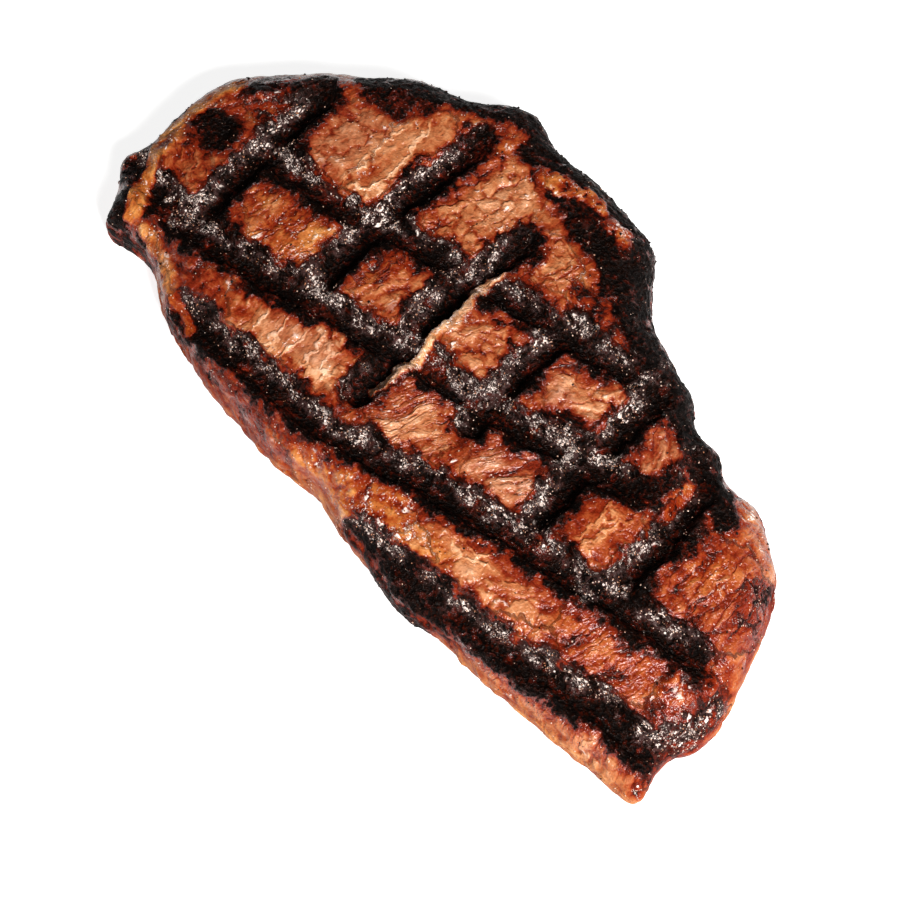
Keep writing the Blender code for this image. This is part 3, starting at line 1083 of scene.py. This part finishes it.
@dataclass(frozen=True)
class MeatFinish:
    """Browned, oily meat that turns to black crust where it is burnt, with painted highlights and
    painted light in its colour.

    Attributes:
        browning: display colours from burnt to pale, each with its place from 0 to 1.
        pink: multiplies the colour where the meat is pinkest.
        golden: multiplies the colour where the meat is most golden.
        ash_and_lit_char: char that has dried to a brownish grey, also painted as light on the grill
            marks' walls that face the key light.
        soot: the blackest char, which hardly shines.
        painted_glint: the colour of a painted highlight, where beads or films of fat would catch
            the light.
        beads: sizes of the painted highlights' cells in millimetres, the last in fibres, each with
            its share of the highlights' density.
        glint_webs: sizes of the films between bubbles, painted as highlights, in millimetres.
        fine_size: size of the finest grain in millimetres.
        mottle_size: size of the mottling in millimetres.
        wander_size: size of the fibres' bends in millimetres.
        fibre_size: size of the threads in one fibre, in fibres.
        fine_height: how high the finest grain stands, in metres, as all the heights.
        crust_height: how much higher it stands where it is burnt.
        mottle_height: how high the mottling stands.
        fibre_height: how high the threads stand.
        glint_height: how high beads and films of fat stand.
        ridge_height: how high the pale seams stand.
        crack_height: how deep the dark seams are.
        wet: refractive index of oily meat.
        damp: refractive index of drier meat.
        dry: refractive index of soot.
    """

    browning: tuple[tuple[float, tuple[int, int, int]], ...] = (
        (0.00, (5, 2, 1)), (0.14, (22, 6, 2)), (0.27, (62, 12, 3)), (0.42, (110, 29, 8)),
        (0.55, (138, 61, 29)), (0.70, (166, 100, 62)), (0.84, (192, 134, 96)),
        (1.00, (220, 176, 144)))
    pink: tuple[float, ...] = (0.95, 1.04, 1.36, 1)
    golden: tuple[float, ...] = (1.05, 0.93, 0.50, 1)
    ash_and_lit_char: tuple[float, ...] = (0.036, 0.017, 0.015, 1)
    soot: tuple[float, ...] = (0.0022, 0.0012, 0.0009, 1)
    painted_glint: tuple[float, ...] = (0.86, 0.70, 0.62, 1)
    beads: tuple[tuple[float, float], ...] = ((0.55, 0.64), (0.85, 0.60), (0.30, 0.74))
    glint_webs: tuple[float, ...] = (0.75, 1.25)
    fine_size: float = 0.95
    mottle_size: float = 2.8
    wander_size: float = 3.0
    fibre_size: float = 0.55
    fine_height: float = 0.00034
    crust_height: float = 0.00086
    mottle_height: float = 0.00050
    fibre_height: float = 0.00085
    glint_height: float = 0.00014
    ridge_height: float = 0.00020
    crack_height: float = 0.00022
    wet: float = 1.42
    damp: float = 1.14
    dry: float = 1.10

    def browned(self, bench: Bench, level: Signal, warmth: Signal) -> Signal:
        """The meat's own colour.

        Args:
            bench: the material's nodes.
            level: how pale the meat is, 0 burnt to 1 pale.
            warmth: its hue, -1 pink to 1 golden.

        Returns:
            The colour.
        """
        colour = bench.gradient(level, [(place, linear(*tone)) for place, tone in self.browning])
        white = (1, 1, 1, 1)
        tinge = bench.mixed(warmth.ramp(0.0, -1.0), white, self.pink)
        tinge = bench.mixed(warmth.ramp(0.0, 1.0), tinge, self.golden)
        return bench.tinted(colour, tinge)

    def painted_glints(self, bench: Bench, spot: Signal, flow: Signal, glint_density: Signal) -> Signal:
        """Painted highlights, where beads and films of fat catch the light.

        Args:
            bench: the material's nodes.
            spot: the point's place in millimetres.
            flow: the point's place in fibres.
            glint_density: how densely the highlights are painted, 0 to 1.

        Returns:
            How bright the painted highlight is at each point, 0 to 1.
        """
        painted_glints: Value = 0.0
        for grid, (size, share) in zip((spot, spot, flow), self.beads):
            glint_cell, draw = bench.cells(grid, size), bench.cells(grid, size, "Color")
            light = (draw + glint_density * share - 1.0).ramp(0.0, 0.50) * glint_cell.ramp(0.44, 0.24)
            painted_glints = light.math("MAXIMUM", light, painted_glints)
        for size in self.glint_webs:
            glint_web_noise, clump = bench.noise(spot, size, 1.0), bench.noise(spot, size * 2.2, 2.0)
            glint_web = (glint_web_noise - 0.5).math("ABSOLUTE", glint_web_noise - 0.5).ramp(0.040, 0.008)
            glint_web = glint_web * (clump + glint_density * 0.26 - 0.69).ramp(0.02, 0.18)
            painted_glints = glint_web.math("MAXIMUM", glint_web * 0.7, painted_glints)
        return painted_glints

    def material(self) -> bpy.types.Material:
        """Build the material.

        Returns:
            The meat's material, which reads the mesh's fields.
        """
        bench = Bench("browned_meat")
        level, warmth, seam = bench.field("level"), bench.field("warmth"), bench.field("seam")
        glint_density, gloss = bench.field("glint_density"), bench.field("gloss")
        spot = bench.place()
        fine = bench.noise(spot, self.fine_size, 2.5)
        mottle = bench.noise(spot, self.mottle_size, 4.0)
        wander = bench.noise(spot, self.wander_size, 2.0, "Color")
        flow = bench.shaken(bench.field("flow", "Vector"), wander, 0.5)
        fibre = bench.noise(flow, self.fibre_size, 3.0)
        gap = bench.cells(flow, 1.0, "Distance", "DISTANCE_TO_EDGE")
        crack = seam.ramp(0.0, 1.0) * gap.ramp(0.13, 0.0) * mottle.ramp(0.36, 0.52)
        ridge = seam.ramp(0.0, -1.0) * gap.ramp(0.09, 0.02)

        calm = level.ramp(0.30, 0.62)
        level = level + (fine - 0.5) * (0.46 - calm * 0.26)
        level = level + (mottle - 0.5) * 0.24 + (fibre - 0.5) * 0.44
        level = level - crack * 0.20 + ridge * 0.20
        colour = self.browned(bench, level, warmth)
        burnt = level.ramp(0.34, 0.16)

        glint_density = glint_density * mottle.ramp(0.30, 0.54)
        # Brownish grey of dried char, and painted light on the walls that face the key light.
        ash_and_light = burnt * glint_density.ramp(0.15, 0.75) * fine.ramp(0.32, 0.56)
        colour = bench.mixed(ash_and_light, colour, self.ash_and_lit_char)
        # Painted highlights along the crests of the fibres and on beads and films of fat.
        crest_glint = fibre.ramp(0.57, 0.66) * mottle.ramp(0.48, 0.60) * gloss.ramp(0.2, 0.7)
        glint_mask = self.painted_glints(bench, spot, flow, glint_density)
        glint_mask = crest_glint.math("MAXIMUM", crest_glint * calm * 0.8, glint_mask).ramp(0.06, 1.0)
        colour = bench.mixed(glint_mask, colour, self.painted_glint)

        height = fine * (self.fine_height + burnt * self.crust_height)
        height = height + mottle * self.mottle_height + fibre * self.fibre_height
        height = height + glint_mask * self.glint_height
        height = height + ridge * self.ridge_height - crack * self.crack_height
        normal = bench.node("ShaderNodeBump", {},
                            {"Strength": 1.0, "Distance": 1.0, "Height": height})
        wet = bench.coated(Base_Color=colour, Roughness=0.26 - gloss * 0.10, Normal=normal,
                           IOR=self.wet)
        damp = bench.coated(Base_Color=colour, Roughness=0.45, Normal=normal, IOR=self.damp,
                            Specular_IOR_Level=0.25)
        moist = gloss.ramp(0.0, 0.6) * (1 - burnt * 0.9)
        meat = bench.node("ShaderNodeMixShader", {}, {0: moist, 1: damp, 2: wet})
        dry = bench.coated(Base_Color=self.soot, Roughness=0.6, Normal=normal, IOR=self.dry)
        sooty = burnt * (fine - 0.5 + glint_density * 0.5).ramp(0.16, -0.06)
        sooty = sooty * (1 - glint_mask)
        return bench.finish(bench.node("ShaderNodeMixShader", {}, {0: sooty, 1: meat, 2: dry}))


@dataclass(frozen=True)
class BeadFinish:
    """Shining melted fat, pale to amber."""

    pale: tuple[float, ...] = (0.60, 0.42, 0.33, 1)
    amber: tuple[float, ...] = (0.30, 0.12, 0.06, 1)

    def material(self) -> bpy.types.Material:
        """Build the material of the fat beads."""
        bench = Bench("melted_fat")
        shade = bench.noise(bench.place(), 3.0, 2.0).ramp(0.4, 0.6)
        colour = bench.mixed(shade, self.pale, self.amber)
        return bench.finish(bench.coated(Base_Color=colour, Roughness=0.12))


@dataclass(frozen=True)
class CrumbFinish:
    """Dry flakes of burnt crust and cracked pepper."""

    black: tuple[float, ...] = (0.004, 0.0025, 0.002, 1)
    brown: tuple[float, ...] = (0.035, 0.014, 0.008, 1)

    def material(self) -> bpy.types.Material:
        """Build the material of the crumbs."""
        bench = Bench("burnt_crumb")
        shade = bench.noise(bench.place(), 0.8, 3.0).ramp(0.5, 0.7)
        colour = bench.mixed(shade, self.black, self.brown)
        return bench.finish(bench.coated(Base_Color=colour, Roughness=0.5, IOR=1.2))


@dataclass(frozen=True)
class FloorFinish:
    """A plain, pale, matt floor that glows softly, like a light table."""

    colour: tuple[float, ...] = (0.56, 0.56, 0.55, 1)
    glow: float = 0.85

    def material(self) -> bpy.types.Material:
        """Build the floor's material."""
        bench = Bench("pale_floor")
        return bench.finish(bench.coated(Base_Color=self.colour, Roughness=0.8,
                                         Emission_Color=(1, 1, 1, 1),
                                         Emission_Strength=self.glow))


# ------------------------------------------------------------------ sub-assemblies
@dataclass
class Steak:
    """The steak's meat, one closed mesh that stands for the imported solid.

    Attributes:
        voxel: size of the even mesh's quads, in metres.
        facet_passes: smoothing passes that take away the solid's facets.
        triangles: how many triangles the finished mesh keeps.
    """

    voxel: float = 0.00042
    facet_passes: int = 40
    triangles: int = 196000

    def build(self) -> tuple[bpy.types.Object, Skin]:
        """Build and dress the meat.

        Returns:
            The piece, and what is known of its vertices.
        """
        piece = linked("steak_meat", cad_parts[NODE].data.copy())
        applied(piece, "even quads", "REMESH", mode="VOXEL", voxel_size=self.voxel)
        mesh = piece.data
        points = relax(mesh_points(mesh), corners_of(mesh.edges, 2), self.facet_passes)
        set_points(mesh, points)
        normals = mesh_normals(mesh)
        skin = MeatSurface(points / MM, normals).skin()
        moved = points + normals * (skin.relief * MM)[:, None]
        set_points(mesh, inside_box(moved))
        ratio = self.triangles / (2 * len(mesh.polygons))
        applied(piece, "fewer triangles", "DECIMATE", ratio=ratio,
                use_collapse_triangulate=True)
        skin = skin.at(self.nearest(piece.data, moved))
        self.store(piece.data, skin)
        piece.data.shade_smooth()
        piece.data.materials.clear()
        piece.data.materials.append(MeatFinish().material())
        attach(piece, BODY)
        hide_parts(NODE)
        return piece, skin

    @staticmethod
    def nearest(mesh: bpy.types.Mesh, source: Array) -> Array:
        """Index of the fine vertex nearest to each vertex of the finished mesh."""
        tree = KDTree(len(source))
        for index, point in enumerate(source):
            tree.insert(point, index)
        tree.balance()
        return np.array([tree.find(vertex.co)[1] for vertex in mesh.vertices])

    @staticmethod
    def store(mesh: bpy.types.Mesh, skin: Skin) -> None:
        """Keep the fields that the material reads as attributes of the mesh."""
        for name in ("level", "warmth", "glint_density", "gloss", "seam"):
            layer = mesh.attributes.new(name, "FLOAT", "POINT")
            layer.data.foreach_set("value", getattr(skin, name).astype(np.float32))
        layer = mesh.attributes.new("flow", "FLOAT_VECTOR", "POINT")
        layer.data.foreach_set("vector", skin.flow.astype(np.float32).ravel())


@dataclass
class Scatter:
    """Many small bodies strewn over the meat, joined into one mesh.

    Attributes:
        name: the piece's name.
        count: how many there are.
        radius: smallest and largest radius in millimetres.
        flatness: height against width.
        sink: the share of its height that is sunk in the meat.
        seed: what its places are drawn from.
        roughen: how far their corners wander, as a share of the radius.
        rarity: how much rarer the large ones are, 1 where all sizes are as common.
        narrowest: the least width against length.
    """

    name: str
    count: int
    radius: tuple[float, float]
    flatness: float
    sink: float
    seed: int
    roughen: float = 0.0
    rarity: float = 2.5
    narrowest: float = 0.6

    @staticmethod
    def template() -> tuple[Array, Array]:
        """Vertices and triangles of one small ball of radius 1."""
        shape = bmesh.new()
        bmesh.ops.create_icosphere(shape, subdivisions=1, radius=1.0)
        points = np.array([vertex.co[:] for vertex in shape.verts])
        faces = np.array([[vertex.index for vertex in face.verts] for face in shape.faces])
        shape.free()
        return points, faces

    def build(self, meat: bpy.types.Object, density: Array,
              finish: bpy.types.Material) -> bpy.types.Object:
        """Strew the bodies and dress them.

        Args:
            meat: the piece that they lie on.
            density: how many lie at each of its vertices, relative to the others.
            finish: their material.

        Returns:
            The piece.
        """
        draw = np.random.default_rng(self.seed)
        mesh = meat.data
        points, normals = mesh_points(mesh), mesh_normals(mesh)
        corners = corners_of(mesh.polygons, 3)
        a, b, c = (points[corners[:, i]] for i in range(3))
        area = np.linalg.norm(np.cross(b - a, c - a), axis=1)
        chance = area * density[corners].mean(axis=1)
        chosen = draw.choice(len(corners), self.count, p=chance / chance.sum())
        share = draw.dirichlet((1, 1, 1), self.count)
        seats = np.einsum("ij,ijk->ik", share, points[corners[chosen]])
        up = normals[corners[chosen, 0]]
        side = np.cross(up, draw.normal(size=up.shape))
        side /= np.linalg.norm(side, axis=1)[:, None]
        axes = np.stack([side, np.cross(up, side), up], axis=1)
        low, high = self.radius
        size = (low + (high - low) * draw.random(self.count) ** self.rarity) * MM
        shape = np.column_stack([size, size * draw.uniform(self.narrowest, 1, self.count),
                                 size * self.flatness])
        ball, faces = self.template()
        rough = 1 + self.roughen * draw.uniform(-1, 1, (self.count, len(ball), 1))
        local = ball[None] * rough * shape[:, None, :]
        local[:, :, 2] += (shape[:, 2] * (1 - 2 * self.sink))[:, None]
        placed = np.einsum("nvi,nij->nvj", local, axes) + seats[:, None, :]
        placed = inside_box(placed)
        steps = np.arange(self.count)[:, None, None] * len(ball)
        piece = linked(self.name, bpy.data.meshes.new(self.name))
        piece.data.from_pydata(placed.reshape(-1, 3), [], (faces[None] + steps).reshape(-1, 3))
        piece.data.update()
        if not self.roughen:
            piece.data.shade_smooth()
        piece.data.materials.append(finish)
        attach(piece, BODY)
        return piece


@dataclass
class Studio:
    """Floor, lights and camera.

    Attributes:
        azimuth: degrees round from looking along +Y.
        elevation: degrees above the floor.
        distance: camera to the point it looks at, in metres.
        lens: focal length in millimetres.
        sensor: the camera's sensor width in millimetres.
        nearest: the closest that the camera sees, in metres.
        aim: the point it looks at, from the middle of the steak's box, in metres.
    """

    azimuth: float = 50.0
    elevation: float = 68.0
    distance: float = 0.483
    lens: float = 84.0
    sensor: float = 36.0
    nearest: float = 0.01
    aim: tuple[float, float, float] = (0.0109, -0.0195, 0.0)

    @staticmethod
    def direction(azimuth: float, elevation: float) -> Vector:
        """Unit vector towards a viewer at those angles, in degrees."""
        turn, rise = math.radians(azimuth), math.radians(elevation)
        flat = math.cos(rise)
        return Vector((math.sin(turn) * flat, -math.cos(turn) * flat, math.sin(rise)))

    @staticmethod
    def middle() -> Vector:
        """The middle of the steak's box."""
        return (CAD_LOW + CAD_HIGH) / 2

    @staticmethod
    def aim_from(thing: bpy.types.Object, place: Vector, towards: Vector) -> None:
        """Put a light or a camera in its place and turn it back along a direction."""
        thing.location = place
        thing.rotation_euler = (-towards).to_track_quat("-Z", "Y").to_euler()
        bpy.context.scene.collection.objects.link(thing)

    def lay_floor(self, half_width: float) -> None:
        """Lay the pale floor, a square of that half width in metres, under the steak."""
        shape = bmesh.new()
        bmesh.ops.create_grid(shape, x_segments=1, y_segments=1, size=half_width)
        mesh = bpy.data.meshes.new("floor")
        shape.to_mesh(mesh)
        shape.free()
        floor = linked("floor", mesh)
        floor.location.z = CAD_LOW.z
        mesh.materials.append(FloorFinish().material())

    def hang_light(self, name: str, azimuth: float, elevation: float, power: float,
                   size: float, away: float) -> None:
        """Hang one square soft light that faces the steak.

        Args:
            name: the light's name.
            azimuth: degrees round from looking along +Y.
            elevation: degrees above the floor.
            power: watts.
            size: side of the square in metres.
            away: distance from the steak in metres.
        """
        data = bpy.data.lights.new(name, "AREA")
        data.energy = power
        data.size = size
        light = bpy.data.objects.new(name, data)
        towards = self.direction(azimuth, elevation)
        self.aim_from(light, self.middle() + towards * away, towards)

    def set_world(self, brightness: float) -> None:
        """Fill the room with plain pale light of that brightness."""
        world = bpy.data.worlds.new("room")
        world.use_nodes = True
        backdrop = world.node_tree.nodes["Background"]
        backdrop.inputs["Color"].default_value = (1.0, 0.98, 0.96, 1)
        backdrop.inputs["Strength"].default_value = brightness
        bpy.context.scene.world = world

    def set_camera(self) -> None:
        """Place the camera and make it the scene's."""
        data = bpy.data.cameras.new("camera")
        data.lens = self.lens
        data.sensor_width = self.sensor
        data.clip_start = self.nearest
        camera = bpy.data.objects.new("camera", data)
        towards = self.direction(self.azimuth, self.elevation)
        self.aim_from(camera, self.middle() + Vector(self.aim) + towards * self.distance, towards)
        bpy.context.scene.camera = camera

    def build(self) -> None:
        """Build the floor, the lights and the camera."""
        self.lay_floor(half_width=1.5)
        self.hang_light("key", azimuth=74, elevation=46, power=19.0, size=0.22, away=0.9)
        self.set_world(brightness=0.09)
        self.set_camera()
        bpy.context.scene.view_settings.view_transform = "Standard"


def main() -> None:
    """Build the steak, what is strewn on it, and the studio."""
    logging.basicConfig(level=logging.INFO, format="%(message)s")
    meat, skin = Steak().build()
    upper = ease(mesh_normals(meat.data)[:, 2], -0.2, 0.4)
    beads = Scatter("fat_beads", count=5000, radius=(0.08, 0.26), flatness=0.6, sink=0.35, seed=5)
    greasy = upper * (0.01 + skin.glint_density ** 2)
    fat = beads.build(meat, greasy, BeadFinish().material())
    crumbs = Scatter("burnt_crumbs", count=1800, radius=(0.12, 0.45), flatness=0.7, sink=0.3,
                     seed=8, roughen=0.35)
    burnt = upper * (0.10 + ease(skin.level, 0.3, 0.1))
    crust = crumbs.build(meat, burnt, CrumbFinish().material())
    for piece in (meat, fat, crust):
        log.info("%s: %d triangles", piece.name, len(piece.data.polygons))
    Studio().build()


if __name__ == "__main__":
    main()
